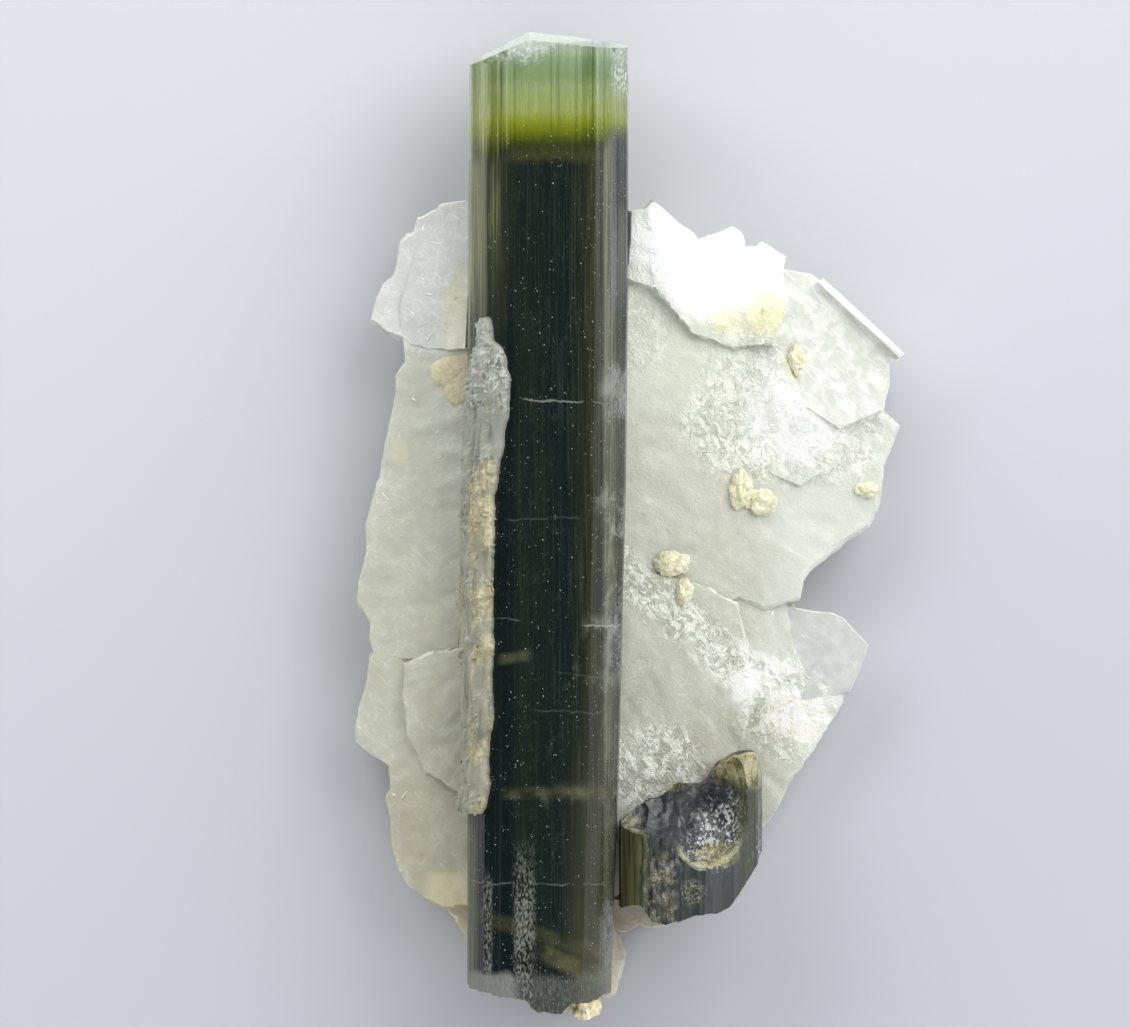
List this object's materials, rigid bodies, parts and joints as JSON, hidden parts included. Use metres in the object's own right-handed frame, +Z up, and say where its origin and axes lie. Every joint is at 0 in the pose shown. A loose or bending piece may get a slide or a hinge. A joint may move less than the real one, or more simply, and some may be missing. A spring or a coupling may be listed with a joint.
{
  "type": "mineral specimen",
  "caption": "Long striated green-capped tourmaline prism lying on white albite plates, with a short broken crystal at its foot and a grainy crust along one edge.",
  "frame": {"origin": "middle of the bounding box, at the flat back of the plates that the specimen rests on", "axes": "+Y along the long crystal towards its finished end, +Z up from the flat back, +X to the side with the short crystal"},
  "size_m": [0.0344, 0.0612, 0.0124],
  "materials": {
    "tourmaline": "glossy, ribbed lengthwise, clear green at the finished end",
    "side_tourmaline": "glossy dark, ribbed, amber where thin",
    "albite": "milky white translucent plates",
    "crust": "grainy grey crust"
  },
  "bodies": {
    "root": {"tourmaline_crystal": "tourmaline", "side_tourmaline": "side_tourmaline", "albite_matrix": "albite", "edge_crust": "crust"}
  },
  "joints": []
}
